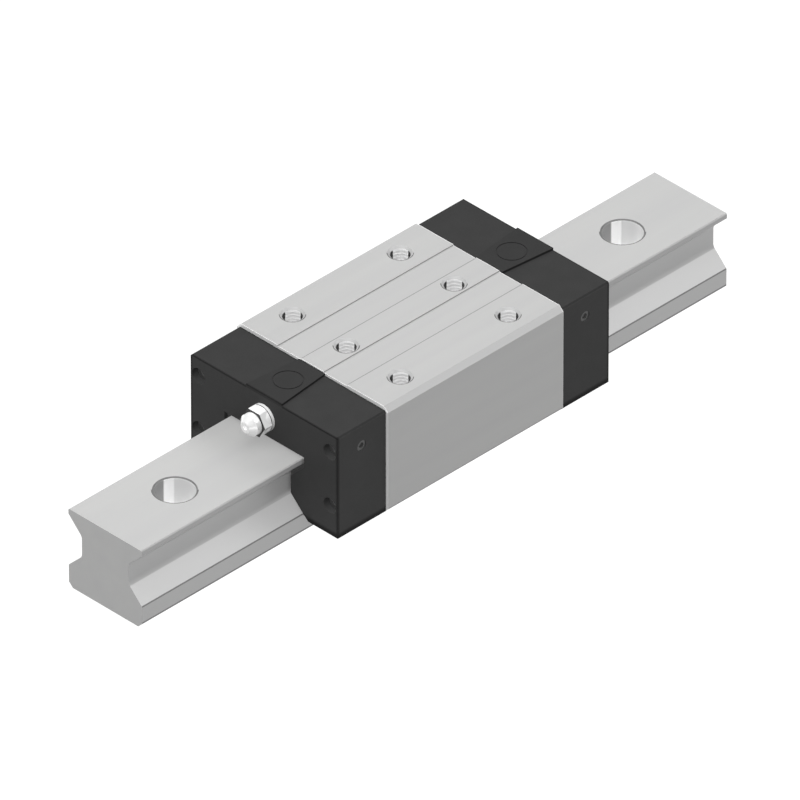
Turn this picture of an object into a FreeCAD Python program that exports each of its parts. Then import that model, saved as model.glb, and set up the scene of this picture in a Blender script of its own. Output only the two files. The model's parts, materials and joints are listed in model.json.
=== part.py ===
import FreeCAD
import Part

import math
import os

import Sketcher

# A roller linear guide: a ground steel rail, and a carriage that runs on it on four circuits of rollers.
# X runs along the rail, Y across it, and Z is up from the rail's underside. The carriage's front faces -X.

document = FreeCAD.newDocument("roller_linear_guide")


# Driving dimensions, in millimetres

SIZES = {
    "rail_length": "272",
    "rail_width": "34",
    "rail_height": "31",
    "rail_lip": "2",
    "flank_rise": "6.2",
    "waist_height": "8",
    "foot_chamfer": "1.8",
    "waist_radius": "2.5",
    "rail_edge": "0.35",
    "rail_end_margin": "32",
    "rail_hole_count": "5",
    "rail_bolt_bore": "9",
    "rail_counterbore": "14",
    "rail_counterbore_depth": "12",
    "rail_hole_chamfer": "0.5",
    "roller_diameter": "4",
    "roller_length": "6",
    "roller_clearance": "0.03",
    "roller_end_gap": "0.15",
    "channel_gap": "0.15",
    "roller_spacing": "0.04",
    "return_rise": "8.75",
    "return_step": "3.39",
    "return_bore": "8.6",
    "block_length": "81.5",
    "block_crown": "18.2",
    "block_side_wall": "7.93",
    "block_floor": "5.13",
    "top_chamfer": "1.8",
    "bottom_chamfer": "1.1",
    "ceiling_gap": "1.5",
    "retainer_width": "3",
    "retainer_gap": "0.35",
    "centre_land": "10.6",
    "outer_land": "19",
    "recess_depth": "0.4",
    "bolt_pitch_x": "50",
    "bolt_pitch_y": "25",
    "bolt_bore": "6.8",
    "bolt_mouth": "8.4",
    "bolt_depth": "13",
    "drill_point": "2",
    "bottom_seal_width": "4",
    "bottom_seal_thickness": "1.2",
    "seal_gap": "0.15",
    "cap_length": "22.25",
    "cap_inset": "0.9",
    "cap_drop": "1.3",
    "cap_lift": "0.1",
    "cap_gap": "1.5",
    "cap_edge": "0.6",
    "leg_chamfer": "1.8",
    "pad_height": "0.9",
    "pad_inner_width": "12",
    "pad_outer_width": "16.6",
    "port_ring": "10.6",
    "port_ring_groove": "0.4",
    "port_ring_depth": "0.25",
    "plate_thickness": "3.8",
    "plate_wall": "2.25",
    "plate_bar": "4.8",
    "seal_groove_depth": "3",
    "seal_backing_thickness": "1",
    "seal_lip_thickness": "1.5",
    "seal_front_wall": "1.5",
    "backing_gap": "0.7",
    "screw_inset": "3.6",
    "screw_drop": "7.2",
    "screw_rise": "6.57",
    "screw_shank": "3",
    "screw_grip": "10",
    "screw_head": "5.5",
    "screw_head_height": "3",
    "screw_sink": "2.6",
    "screw_socket": "2.5",
    "screw_socket_depth": "1.5",
    "screw_clearance": "0.2",
    "thread_clearance": "0.02",
    "port_bore": "4",
    "port_depth": "1.3",
    "plug_length": "1",
    "plug_sink": "0.3",
    "plug_socket": "2",
    "plug_socket_depth": "0.6",
    "oilway": "3",
    "oilway_overrun": "4",
    "feed": "2",
    "feed_share": "0.4",
    "port_plug_length": "4",
    "port_plug_socket": "3",
    "port_plug_socket_depth": "2",
    "nipple_drop": "8.4",
    "nipple_thread": "6",
    "nipple_thread_length": "7",
    "nipple_collar": "10",
    "nipple_collar_length": "1.2",
    "nipple_hexagon": "9",
    "nipple_hexagon_length": "3.6",
    "nipple_head": "8",
    "nipple_head_length": "4",
    "nipple_bore": "2.6",
    "nipple_mouth": "1.7",
    "nipple_mouth_length": "0.8",
    "valve_ball": "2.4",
    "valve_spring_wire": "0.3",
    "valve_spring_coil": "1.9",
    "valve_spring_pitch": "0.8",
    "valve_spring_length": "3.6",
    "valve_spring_gap": "0.05",
}

sheet = document.addObject("Spreadsheet::Sheet", "Sizes")
for row, (alias, number) in enumerate(SIZES.items(), 1):
    sheet.set(f"A{row}", alias)
    sheet.set(f"B{row}", number)
    sheet.setAlias(f"B{row}", alias)
document.recompute()


def worked(expression):
    """The value of an expression that uses the sheet's sizes."""
    return float(sheet.evalExpression(expression.replace("Sizes.", "")))


# Places that several pieces share, as expressions of the sheet's sizes

DIAGONAL = math.sqrt(0.5)
OFFSET_SHIFT = math.tan(math.radians(22.5))
SAME_PLACE = 0.001
RAIL_SIDE = "(Sizes.rail_width / 2)"
RAIL_WAIST = "(Sizes.rail_width / 2 - Sizes.flank_rise)"
HEAD_UNDERSIDE = "(Sizes.rail_height - Sizes.rail_lip)"
WAIST_TOP = "(Sizes.rail_height - Sizes.rail_lip - Sizes.flank_rise)"
WAIST_BOTTOM = "(Sizes.rail_height - Sizes.rail_lip - Sizes.flank_rise - Sizes.waist_height)"
RAIL_BASE = f"({WAIST_BOTTOM} - Sizes.flank_rise)"
FLANK_MIDDLE = "(Sizes.rail_width / 2 - Sizes.flank_rise / 2)"
UPPER_FLANK = "(Sizes.rail_height - Sizes.rail_lip - Sizes.flank_rise / 2)"
LOWER_FLANK = f"({RAIL_BASE} + Sizes.flank_rise / 2)"
ROLLER_REACH = f"((Sizes.roller_diameter / 2 + Sizes.roller_clearance) * {DIAGONAL})"
LOAD_SIDE = f"({FLANK_MIDDLE} + {ROLLER_REACH})"
RACE_SIDE = f"({FLANK_MIDDLE} + 2 * {ROLLER_REACH})"
UPPER_RACE = f"({UPPER_FLANK} - 2 * {ROLLER_REACH})"
LOWER_RACE = f"({LOWER_FLANK} + 2 * {ROLLER_REACH})"
CHANNEL_WIDTH = "(Sizes.roller_length + 2 * Sizes.roller_end_gap)"
CHANNEL_HEIGHT = "(Sizes.roller_diameter + 2 * Sizes.channel_gap)"
RACE_HALF = f"({CHANNEL_WIDTH} / 2 * {DIAGONAL})"
NOSE_SIDE = f"({RACE_SIDE} - {RACE_HALF})"
INNER_WALL = "(Sizes.rail_width / 2 + Sizes.retainer_width)"
BLOCK_CEILING = "(Sizes.rail_height + Sizes.ceiling_gap)"

# The upper circuit returns low and far out, and the lower circuit high and nearer the rail. A turn's reach is how
# far its return row lies from its loaded row, both outwards and up or down.
UPPER_LOAD = f"({UPPER_FLANK} - {ROLLER_REACH})"
LOWER_LOAD = f"({LOWER_FLANK} + {ROLLER_REACH})"
UPPER_REACH = f"(({UPPER_LOAD} - {LOWER_LOAD} + Sizes.return_rise + Sizes.return_step) / 2)"
LOWER_REACH = f"(({UPPER_LOAD} - {LOWER_LOAD} + Sizes.return_rise - Sizes.return_step) / 2)"
OUTER_RETURN_HEIGHT = f"({UPPER_LOAD} - {UPPER_REACH})"
BLOCK_SIDE = f"({LOAD_SIDE} + {UPPER_REACH} + Sizes.block_side_wall)"
BLOCK_TOP = "(Sizes.rail_height + Sizes.block_crown)"
BLOCK_BOTTOM = f"({OUTER_RETURN_HEIGHT} - Sizes.block_floor)"
SEAL_SHELF = f"({BLOCK_BOTTOM} + Sizes.bottom_seal_thickness)"
CAP_SIDE = f"({BLOCK_SIDE} - Sizes.cap_inset)"
CAP_TOP = f"({BLOCK_TOP} - Sizes.cap_drop)"
CAP_BOTTOM = f"({BLOCK_BOTTOM} + Sizes.cap_lift)"
SCREW_SIDE = f"({CAP_SIDE} - Sizes.screw_inset)"
SCREW_HIGH = f"({CAP_TOP} - Sizes.screw_drop)"
SCREW_LOW = f"({OUTER_RETURN_HEIGHT} + Sizes.screw_rise)"
FEED_SIDE = f"({LOAD_SIDE} + {UPPER_REACH} * Sizes.feed_share)"
PLATE_SIDE = f"({CAP_SIDE} - Sizes.plate_wall)"
PLATE_TOP = "(Sizes.rail_height + Sizes.cap_gap + Sizes.plate_bar)"
SEAL_OUTER_FACE = "(Sizes.cap_length - Sizes.seal_front_wall)"
SEAL_WIDTH = "(Sizes.seal_backing_thickness + Sizes.seal_lip_thickness)"
HEAD_SEAT = "(Sizes.cap_length - Sizes.screw_sink - Sizes.screw_head_height)"
NIPPLE_HEIGHT = f"({CAP_TOP} - Sizes.nipple_drop)"
NIPPLE_SEAT_DEPTH = "(Sizes.nipple_thread_length + Sizes.thread_clearance)"
NIPPLE_REACH = "(Sizes.nipple_collar_length + Sizes.nipple_hexagon_length + Sizes.nipple_head_length)"
BALL_SEAT = f"({NIPPLE_REACH} - Sizes.nipple_mouth_length)"
SPRING_FOOT = f"({BALL_SEAT} - Sizes.valve_ball - Sizes.valve_spring_gap - Sizes.valve_spring_length)"

# For each circuit: the height of its loaded row, whether its return row lies above (+1) or below (-1) that,
# the turn's reach, and where the turn starts outside the block's end
CIRCUITS = {
    "upper": {"load": UPPER_LOAD, "climb": -1, "reach": UPPER_REACH, "start": "Sizes.plate_thickness"},
    "lower": {"load": LOWER_LOAD, "climb": 1, "reach": LOWER_REACH, "start": "0"},
}
SIDES = {"left": 1, "right": -1}
ENDS = {"front": 180, "rear": 0}


# Ways of making sketches and features, with every size bound to the sheet


def new_body(name):
    body = document.addObject("PartDesign::Body", name)
    body.Label = name
    return body


def new_sketch(body, name, role, offset=("0", "0", "0")):
    """A sketch on one of the body's own origin planes, shifted in the plane's own axes."""
    sketch = body.newObject("Sketcher::SketchObject", name)
    plane = next(f for f in body.Origin.OriginFeatures if f.Role == role)
    sketch.AttachmentSupport = (plane, [""])
    sketch.MapMode = "FlatFace"
    for axis, expression in zip("xyz", offset):
        if expression != "0":
            sketch.setExpression(f"AttachmentOffset.Base.{axis}", expression)
    return sketch


def pin_point(sketch, element, point, across, up):
    for kind, expression in (("DistanceX", across), ("DistanceY", up)):
        constraint = Sketcher.Constraint(kind, -1, 1, element, point, worked(expression))
        number = sketch.addConstraint(constraint)
        sketch.setExpression(f"Constraints[{number}]", expression)


def add_polygon(sketch, corners):
    """A closed outline whose corners are pairs of expressions."""
    first = sketch.GeometryCount
    places = [FreeCAD.Vector(worked(across), worked(up), 0) for across, up in corners]
    for here, there in zip(places, places[1:] + places[:1]):
        sketch.addGeometry(Part.LineSegment(here, there), False)
    count = len(corners)
    for number in range(count):
        following = first + (number + 1) % count
        sketch.addConstraint(Sketcher.Constraint("Coincident", first + number, 2, following, 1))
    for number, (across, up) in enumerate(corners):
        pin_point(sketch, first + number, 1, across, up)


def add_circle(sketch, across, up, diameter):
    centre = FreeCAD.Vector(worked(across), worked(up), 0)
    circle = Part.Circle(centre, FreeCAD.Vector(0, 0, 1), worked(diameter) / 2)
    element = sketch.addGeometry(circle, False)
    pin_point(sketch, element, 3, across, up)
    number = sketch.addConstraint(Sketcher.Constraint("Diameter", element, worked(diameter)))
    sketch.setExpression(f"Constraints[{number}]", diameter)


def add_hexagon(sketch, across, up, across_flats):
    corners = []
    for step in range(6):
        angle = math.radians(60 * step)
        reach = f"({across_flats} / {math.sqrt(3)})"
        corners.append(
            (f"{across} + {reach} * {math.cos(angle)}", f"{up} + {reach} * {math.sin(angle)}")
        )
    add_polygon(sketch, corners)


def pad(body, name, sketch, length, midplane=False, backwards=False):
    feature = body.newObject("PartDesign::Pad", name)
    feature.Profile = sketch
    feature.Length = worked(length)
    feature.setExpression("Length", length)
    feature.Midplane = midplane
    feature.Reversed = backwards
    return feature


def pocket(body, name, sketch, length, midplane=False, backwards=False):
    """Cuts against the sketch's normal, or along it when backwards."""
    feature = body.newObject("PartDesign::Pocket", name)
    feature.Profile = sketch
    feature.Length = worked(length)
    feature.setExpression("Length", length)
    feature.Midplane = midplane
    feature.Reversed = backwards
    return feature


def turned(body, kind, name, role, offset, axis, corners):
    """A full turn of an outline about its sketch's axis, which adds material or, as a Groove, cuts it."""
    sketch = new_sketch(body, f"{name}_profile", role, offset)
    add_polygon(sketch, corners)
    feature = body.newObject(f"PartDesign::{kind}", name)
    feature.Profile = sketch
    feature.ReferenceAxis = (sketch, [axis])
    feature.Angle = 360
    return feature


def mirrored_outline(corners):
    """The whole outline of a shape that is alike on both sides, from its corners at +Y, top to bottom."""
    others = [(f"-({across})", up) for across, up in reversed(corners)]
    return corners + others


def rail_offset(gap, bottom):
    """Corners at +Y of the rail's outline grown by a gap, from its top down to a given level."""
    waist_side, waist_high, waist_low = rail_waist(gap)
    shift = f"({gap}) * {OFFSET_SHIFT}"
    return [
        (f"{RAIL_SIDE} + {gap}", f"Sizes.rail_height + {gap}"),
        (f"{RAIL_SIDE} + {gap}", f"{HEAD_UNDERSIDE} - {shift}"),
        (waist_side, waist_high),
        (waist_side, waist_low),
        (f"{RAIL_SIDE} + {gap}", f"{RAIL_BASE} + {shift}"),
        (f"{RAIL_SIDE} + {gap}", bottom),
    ]


def rail_waist(gap):
    """The side and the two heights of the waist's corners in the rail's outline grown by a gap."""
    shift = f"({gap}) * {OFFSET_SHIFT}"
    return f"({RAIL_WAIST} + {gap})", f"({WAIST_TOP} - {shift})", f"({WAIST_BOTTOM} + {shift})"


def round_waist(body, name, gap):
    """Rounds a bar's long edges at the corners of the waist in the rail's outline grown by a gap."""
    bar = body.Tip
    document.recompute()
    side, high, low = (worked(expression) for expression in rail_waist(gap))
    edges = []
    for number, edge in enumerate(bar.Shape.Edges, 1):
        box = edge.BoundBox
        along_rail = box.YLength < SAME_PLACE and box.ZLength < SAME_PLACE
        at_side = abs(abs(box.Center.y) - side) < SAME_PLACE
        at_height = min(abs(box.Center.z - high), abs(box.Center.z - low)) < SAME_PLACE
        if along_rail and at_side and at_height:
            edges.append(f"Edge{number}")
    rounding = body.newObject("PartDesign::Fillet", name)
    rounding.Base = (bar, edges)
    rounding.Radius = worked(f"Sizes.waist_radius - {gap}")
    rounding.setExpression("Radius", f"Sizes.waist_radius - {gap}")


def place_at_end(body, end, beyond="0"):
    """Sets a piece that is drawn outward from the block's end face on the block's front or rear."""
    sign = -1 if end == "front" else 1
    body.Placement.Rotation = FreeCAD.Rotation(FreeCAD.Vector(0, 0, 1), ENDS[end])
    body.setExpression("Placement.Base.x", f"{sign} * (Sizes.block_length / 2 + {beyond})")


# The geometry of a roller circuit, seen along the rail


def turn_direction(circuit, side):
    """The unit vector from the loaded row to the return row, as (y, z)."""
    return side * DIAGONAL, circuit["climb"] * DIAGONAL


def roller_axis(circuit, side):
    """The unit vector along the circuit's rollers, as (y, z)."""
    return side * DIAGONAL, -circuit["climb"] * DIAGONAL


def row_place(circuit, side, share):
    """The place (y, z) at a share of the way from the loaded row to the return row."""
    reach = f"{circuit['reach']} * {share}"
    return f"{side} * ({LOAD_SIDE} + {reach})", f"({circuit['load']} + {circuit['climb']} * {reach})"


def set_along_rollers(feature, circuit, side):
    """Turns a primitive so that its Z lies along the rollers and its Y points out of the block's end."""
    along_y, along_z = roller_axis(circuit, side)
    outward = FreeCAD.Vector(1, 0, 0)
    along = FreeCAD.Vector(0, along_y, along_z)
    feature.Placement.Rotation = FreeCAD.Rotation(outward.cross(along), outward, along, "ZYX")


def half_disc(body, kind, name, circuit, side, radius, width):
    """Half a disc round the middle of a circuit's turn, bulging out of the block's end."""
    feature = body.newObject(f"PartDesign::{kind}", name)
    feature.Angle = 180
    set_along_rollers(feature, circuit, side)
    along_y, along_z = roller_axis(circuit, side)
    middle_y, middle_z = row_place(circuit, side, 0.5)
    feature.setExpression("Radius", radius)
    feature.setExpression("Height", width)
    feature.setExpression("Placement.Base.x", circuit["start"])
    feature.setExpression("Placement.Base.y", f"{middle_y} - {along_y} * {width} / 2")
    feature.setExpression("Placement.Base.z", f"{middle_z} - {along_z} * {width} / 2")
    return feature


def turn_radius(circuit, change):
    """The radius of a turn's outer (+) or inner (-) wall."""
    return f"({circuit['reach']} * {DIAGONAL} {change} {CHANNEL_HEIGHT} / 2)"


def channel_corners(circuit, side, share):
    """The four corners of the channel's section at the loaded row (share 0) or the return row (share 1)."""
    middle_y, middle_z = row_place(circuit, side, share)
    along_y, along_z = roller_axis(circuit, side)
    away_y, away_z = turn_direction(circuit, side)
    corners = []
    for along, away in ((1, 1), (1, -1), (-1, -1), (-1, 1)):
        shift_y = f"{along * along_y} * {CHANNEL_WIDTH} / 2 + {away * away_y} * {CHANNEL_HEIGHT} / 2"
        shift_z = f"{along * along_z} * {CHANNEL_WIDTH} / 2 + {away * away_z} * {CHANNEL_HEIGHT} / 2"
        corners.append((f"{middle_y} + {shift_y}", f"{middle_z} + {shift_z}"))
    return corners


# Pieces


def make_rail():
    body = new_body("rail")
    sketch = new_sketch(body, "rail_section", "YZ_Plane")
    half = [
        (f"{RAIL_SIDE} - Sizes.rail_edge", "Sizes.rail_height"),
        (RAIL_SIDE, "Sizes.rail_height - Sizes.rail_edge"),
        (RAIL_SIDE, HEAD_UNDERSIDE),
        (RAIL_WAIST, WAIST_TOP),
        (RAIL_WAIST, WAIST_BOTTOM),
        (RAIL_SIDE, RAIL_BASE),
        (RAIL_SIDE, "Sizes.foot_chamfer"),
        (f"{RAIL_SIDE} - Sizes.foot_chamfer", "0"),
    ]
    add_polygon(sketch, mirrored_outline(half))
    pad(body, "rail_bar", sketch, "Sizes.rail_length", midplane=True)
    round_waist(body, "rail_waist_rounding", "0")
    rim = "Sizes.rail_counterbore / 2 + Sizes.rail_hole_chamfer"
    hole = turned(
        body,
        "Groove",
        "rail_hole",
        "XZ_Plane",
        ("-Sizes.rail_length / 2 + Sizes.rail_end_margin", "0", "0"),
        "V_Axis",
        [
            ("0", "Sizes.rail_height + 1"),
            (f"{rim} + 1", "Sizes.rail_height + 1"),
            (rim, "Sizes.rail_height"),
            ("Sizes.rail_counterbore / 2", "Sizes.rail_height - Sizes.rail_hole_chamfer"),
            ("Sizes.rail_counterbore / 2", "Sizes.rail_height - Sizes.rail_counterbore_depth"),
            ("Sizes.rail_bolt_bore / 2", "Sizes.rail_height - Sizes.rail_counterbore_depth"),
            ("Sizes.rail_bolt_bore / 2", "-1"),
            ("0", "-1"),
        ],
    )
    row = body.newObject("PartDesign::LinearPattern", "rail_holes")
    row.Originals = [hole]
    row.Direction = (next(f for f in body.Origin.OriginFeatures if f.Role == "X_Axis"), [""])
    row.setExpression("Length", "Sizes.rail_length - 2 * Sizes.rail_end_margin")
    row.setExpression("Occurrences", "Sizes.rail_hole_count")
    body.Tip = row
    return body


def make_block():
    body = new_body("carriage_block")
    sketch = new_sketch(body, "block_section", "YZ_Plane")
    half = [
        ("Sizes.centre_land / 2", BLOCK_TOP),
        ("Sizes.centre_land / 2", f"{BLOCK_TOP} - Sizes.recess_depth"),
        (f"{BLOCK_SIDE} - Sizes.outer_land", f"{BLOCK_TOP} - Sizes.recess_depth"),
        (f"{BLOCK_SIDE} - Sizes.outer_land", BLOCK_TOP),
        (f"{BLOCK_SIDE} - Sizes.top_chamfer", BLOCK_TOP),
        (BLOCK_SIDE, f"{BLOCK_TOP} - Sizes.top_chamfer"),
        (BLOCK_SIDE, f"{BLOCK_BOTTOM} + Sizes.bottom_chamfer"),
        (f"{BLOCK_SIDE} - Sizes.bottom_chamfer", BLOCK_BOTTOM),
        (f"{INNER_WALL} + Sizes.bottom_seal_width", BLOCK_BOTTOM),
        (f"{INNER_WALL} + Sizes.bottom_seal_width", SEAL_SHELF),
        (INNER_WALL, SEAL_SHELF),
        (INNER_WALL, f"{LOWER_RACE} + {RACE_SIDE} - {INNER_WALL}"),
        (NOSE_SIDE, f"{LOWER_RACE} + {RACE_HALF}"),
        (NOSE_SIDE, f"{UPPER_RACE} - {RACE_HALF}"),
        (INNER_WALL, f"{UPPER_RACE} - {RACE_SIDE} + {INNER_WALL}"),
        (INNER_WALL, BLOCK_CEILING),
    ]
    add_polygon(sketch, mirrored_outline(half))
    pad(body, "block_bar", sketch, "Sizes.block_length", midplane=True)

    bores = new_sketch(body, "return_bore_places", "YZ_Plane")
    for side in SIDES.values():
        for circuit in CIRCUITS.values():
            add_circle(bores, *row_place(circuit, side, 1), "Sizes.return_bore")
    pocket(body, "return_bores", bores, "Sizes.block_length + 2", midplane=True)

    for end, sign in (("front", -1), ("rear", 1)):
        face = f"{sign} * Sizes.block_length / 2"
        threads = new_sketch(body, f"{end}_thread_places", "YZ_Plane", ("0", "0", face))
        for across, up in screw_places():
            add_circle(threads, across, up, "Sizes.screw_shank + 2 * Sizes.thread_clearance")
        depth = "Sizes.screw_grip + Sizes.drill_point"
        pocket(body, f"{end}_threads", threads, depth, backwards=end == "front")

    table_holes = []
    for name, across in (("right", "-Sizes.bolt_pitch_y"), ("middle", "0"), ("left", "Sizes.bolt_pitch_y")):
        table_holes.append(
            turned(
                body,
                "Groove",
                f"{name}_table_hole",
                "XZ_Plane",
                ("-Sizes.bolt_pitch_x / 2", "0", f"-({across})" if across != "0" else "0"),
                "V_Axis",
                [
                    ("0", f"{BLOCK_TOP} + 1"),
                    ("Sizes.bolt_mouth / 2 + 1", f"{BLOCK_TOP} + 1"),
                    ("Sizes.bolt_mouth / 2", BLOCK_TOP),
                    ("Sizes.bolt_bore / 2", f"{BLOCK_TOP} - (Sizes.bolt_mouth - Sizes.bolt_bore) / 2"),
                    ("Sizes.bolt_bore / 2", f"{BLOCK_TOP} - Sizes.bolt_depth"),
                    ("0", f"{BLOCK_TOP} - Sizes.bolt_depth - Sizes.drill_point"),
                ],
            )
        )
    row = body.newObject("PartDesign::LinearPattern", "table_holes")
    row.Originals = table_holes
    row.Direction = (next(f for f in body.Origin.OriginFeatures if f.Role == "X_Axis"), [""])
    row.setExpression("Length", "Sizes.bolt_pitch_x")
    row.Occurrences = 2
    body.Tip = row
    return body


def screw_places():
    """Where the cap's four screws stand, seen along the rail."""
    heights = (SCREW_HIGH, SCREW_LOW)
    return [(f"{side} * {SCREW_SIDE}", height) for side in SIDES.values() for height in heights]


def make_strip(name, corners, side):
    """A straight strip as long as the block, from its corners at +Y."""
    body = new_body(name)
    sketch = new_sketch(body, f"{name}_section", "YZ_Plane")
    add_polygon(sketch, [(f"{side} * ({across})", up) for across, up in corners])
    pad(body, f"{name}_bar", sketch, "Sizes.block_length", midplane=True)
    return body


def make_strips():
    """The roller retainers and the seals that run along the block."""
    rail_face = f"{RAIL_SIDE} + Sizes.retainer_gap"
    race_end_side = f"({RACE_SIDE} + {RACE_HALF})"
    upper_end = f"({UPPER_RACE} + {RACE_HALF})"
    lower_end = f"({LOWER_RACE} - {RACE_HALF})"
    upper = [
        (race_end_side, upper_end),
        (INNER_WALL, f"{UPPER_RACE} - {RACE_SIDE} + {INNER_WALL}"),
        (INNER_WALL, BLOCK_CEILING),
        (rail_face, BLOCK_CEILING),
        (rail_face, f"{upper_end} + {race_end_side} - {rail_face}"),
    ]
    lower = [
        (race_end_side, lower_end),
        (INNER_WALL, f"{LOWER_RACE} + {RACE_SIDE} - {INNER_WALL}"),
        (INNER_WALL, SEAL_SHELF),
        (rail_face, SEAL_SHELF),
        (rail_face, f"{lower_end} - {race_end_side} + {rail_face}"),
    ]
    # The middle strip fills the space between the block's nose and the rail's waist.
    waist_face, waist_high, waist_low = rail_waist("Sizes.retainer_gap")
    nose_top = f"({UPPER_RACE} - {RACE_HALF})"
    nose_bottom = f"({LOWER_RACE} + {RACE_HALF})"
    high_tip = f"(({nose_top} + {NOSE_SIDE} - {waist_high} + {waist_face}) / 2)"
    low_tip = f"(({NOSE_SIDE} - {nose_bottom} + {waist_low} + {waist_face}) / 2)"
    middle = [
        (NOSE_SIDE, nose_top),
        (high_tip, f"{waist_high} - {waist_face} + {high_tip}"),
        (waist_face, waist_high),
        (waist_face, waist_low),
        (low_tip, f"{waist_low} + {waist_face} - {low_tip}"),
        (NOSE_SIDE, nose_bottom),
    ]
    bottom_seal = [
        (f"{INNER_WALL} + Sizes.bottom_seal_width", BLOCK_BOTTOM),
        (f"{INNER_WALL} + Sizes.bottom_seal_width", SEAL_SHELF),
        (f"{RAIL_SIDE} + Sizes.seal_gap", SEAL_SHELF),
        (f"{RAIL_SIDE} + Sizes.seal_gap", f"{SEAL_SHELF} - Sizes.bottom_seal_thickness / 2"),
        (f"{RAIL_SIDE} + Sizes.retainer_width / 2", BLOCK_BOTTOM),
    ]
    strips = []
    for hand, side in SIDES.items():
        strips.append(make_strip(f"{hand}_upper_retainer", upper, side))
        strips.append(make_strip(f"{hand}_middle_retainer", middle, side))
        round_waist(strips[-1], f"{hand}_waist_rounding", "Sizes.retainer_gap")
        strips.append(make_strip(f"{hand}_lower_retainer", lower, side))
        strips.append(make_strip(f"{hand}_bottom_seal", bottom_seal, side))
    return strips


def make_return_tube(hand, row, circuit):
    side = SIDES[hand]
    name = f"{hand}_{row}_return_tube"
    body = new_body(name)
    sketch = new_sketch(body, f"{name}_section", "YZ_Plane")
    add_circle(sketch, *row_place(circuit, side, 1), "Sizes.return_bore")
    add_polygon(sketch, channel_corners(circuit, side, 1))
    pad(body, f"{name}_bar", sketch, "Sizes.block_length", midplane=True)
    return body


def circuit_place(distance, straight, radius):
    """Where a roller is at a distance along its circuit: (x, share of the turn's width)."""
    turn = math.pi * radius
    if distance < straight:
        return distance - straight / 2, 0
    distance -= straight
    if distance < turn:
        angle = distance / radius
        return straight / 2 + radius * math.sin(angle), (1 - math.cos(angle)) / 2
    distance -= turn
    if distance < straight:
        return straight / 2 - distance, 1
    angle = (distance - straight) / radius
    return -straight / 2 - radius * math.sin(angle), (1 + math.cos(angle)) / 2


def make_rollers(hand, row, circuit):
    """A full circuit of separate rollers, evenly spread along both rows and both turns."""
    side = SIDES[hand]
    radius = worked(circuit["reach"]) * DIAGONAL
    straight = worked(f"Sizes.block_length + 2 * {circuit['start']}")
    whole = 2 * straight + 2 * math.pi * radius
    count = math.floor(whole / worked("Sizes.roller_diameter + Sizes.roller_spacing"))
    along = FreeCAD.Vector(0, *roller_axis(circuit, side))
    length = worked("Sizes.roller_length")
    rollers = []
    for number in range(count):
        along_rail, share = circuit_place(whole * number / count, straight, radius)
        across, up = row_place(circuit, side, share)
        centre = FreeCAD.Vector(along_rail, worked(across), worked(up))
        start = centre - along * (length / 2)
        rollers.append(Part.makeCylinder(worked("Sizes.roller_diameter / 2"), length, start, along))
    feature = document.addObject("Part::Feature", f"{hand}_{row}_rollers")
    feature.Label = f"{hand}_{row}_rollers"
    feature.Shape = Part.makeCompound(rollers)
    return feature


def make_turnaround_plate(end):
    """The plate against the block's end that carries the inside of the two large turns."""
    name = f"{end}_turnaround_plate"
    body = new_body(name)
    sketch = new_sketch(body, f"{name}_outline", "YZ_Plane")
    add_polygon(sketch, plate_outline(CAP_BOTTOM))
    pad(body, f"{name}_sheet", sketch, "Sizes.plate_thickness")
    upper, lower = CIRCUITS["upper"], CIRCUITS["lower"]
    for hand, side in SIDES.items():
        core = turn_radius(upper, "-")
        half_disc(body, "AdditiveCylinder", f"{end}_{hand}_core", upper, side, core, CHANNEL_WIDTH)
    for hand, side in SIDES.items():
        slots = new_sketch(body, f"{end}_{hand}_slots", "YZ_Plane")
        add_polygon(slots, channel_corners(upper, side, 0))
        add_polygon(slots, channel_corners(upper, side, 1))
        pocket(body, f"{end}_{hand}_slot_cuts", slots, "2 * Sizes.plate_thickness", midplane=True)
    for hand, side in SIDES.items():
        outside = turn_radius(lower, "+")
        half_disc(body, "SubtractiveCylinder", f"{end}_{hand}_under", lower, side, outside, CHANNEL_WIDTH)
    for hand, side in SIDES.items():
        hole = new_sketch(body, f"{end}_{hand}_screw_place", "YZ_Plane")
        clear = "Sizes.screw_shank + 2 * Sizes.screw_clearance"
        add_circle(hole, f"{side} * {SCREW_SIDE}", SCREW_LOW, clear)
        pocket(body, f"{end}_{hand}_screw_hole", hole, "3 * Sizes.plate_thickness", midplane=True)
    place_at_end(body, end)
    return body


def plate_outline(bottom):
    """The turnaround plate's outline, with the rail's way through it."""
    outside = [(PLATE_SIDE, bottom), (PLATE_SIDE, PLATE_TOP)]
    inside = rail_offset("Sizes.cap_gap", bottom)
    corners = [(f"-({across})", up) for across, up in outside]
    corners += outside[::-1] + inside[::-1]
    corners += [(f"-({across})", up) for across, up in inside]
    return corners


def make_inner_guide(end, hand):
    """The half-round piece that the lower row turns round."""
    name = f"{end}_{hand}_inner_guide"
    body = new_body(name)
    lower = CIRCUITS["lower"]
    side = SIDES[hand] * (-1 if end == "front" else 1)
    half_disc(body, "AdditiveCylinder", f"{name}_disc", lower, side, turn_radius(lower, "-"), CHANNEL_WIDTH)
    place_at_end(body, end)
    return body


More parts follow.
